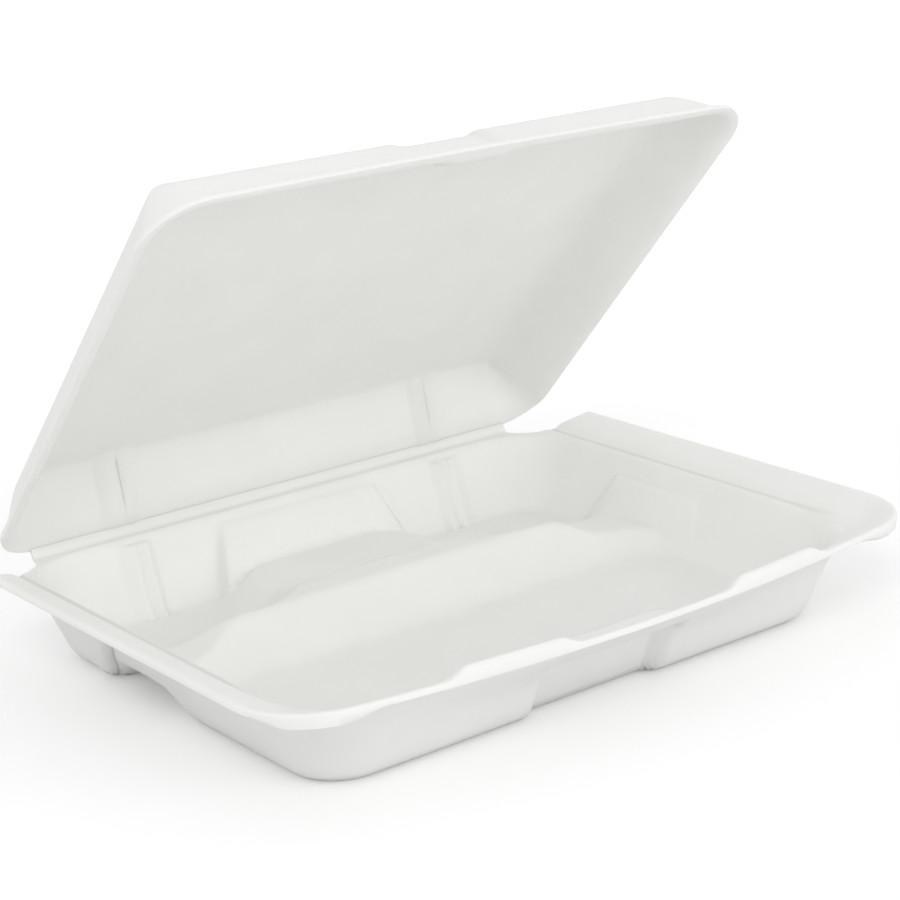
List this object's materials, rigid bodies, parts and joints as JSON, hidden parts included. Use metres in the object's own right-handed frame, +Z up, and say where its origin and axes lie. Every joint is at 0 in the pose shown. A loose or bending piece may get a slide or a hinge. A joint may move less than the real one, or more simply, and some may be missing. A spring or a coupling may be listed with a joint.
{
  "type": "foam clamshell container",
  "caption": "Hinged foam food container: a compartmented tray with wide side flanges and locking crests on its front rim, under a shallow lid that stands part open.",
  "frame": {"origin": "on the underside, under the middle of the tray", "axes": "+X along the hinge, +Y towards the hinge, +Z up"},
  "size_m": [0.236, 0.1866, 0.1541],
  "materials": {
    "foam": "matte foamed sheet"
  },
  "bodies": {
    "tray": {"tray": "foam", "hinge_web": "foam"},
    "lid": {"lid": "foam"}
  },
  "joints": [
    {"name": "lid_hinge", "type": "hinge", "parent": "tray", "child": "lid", "pos_m": [0, 0.088, 0.027], "axis": [-1, 0, 0], "range_deg": [-46.7, 132.7]}
  ]
}
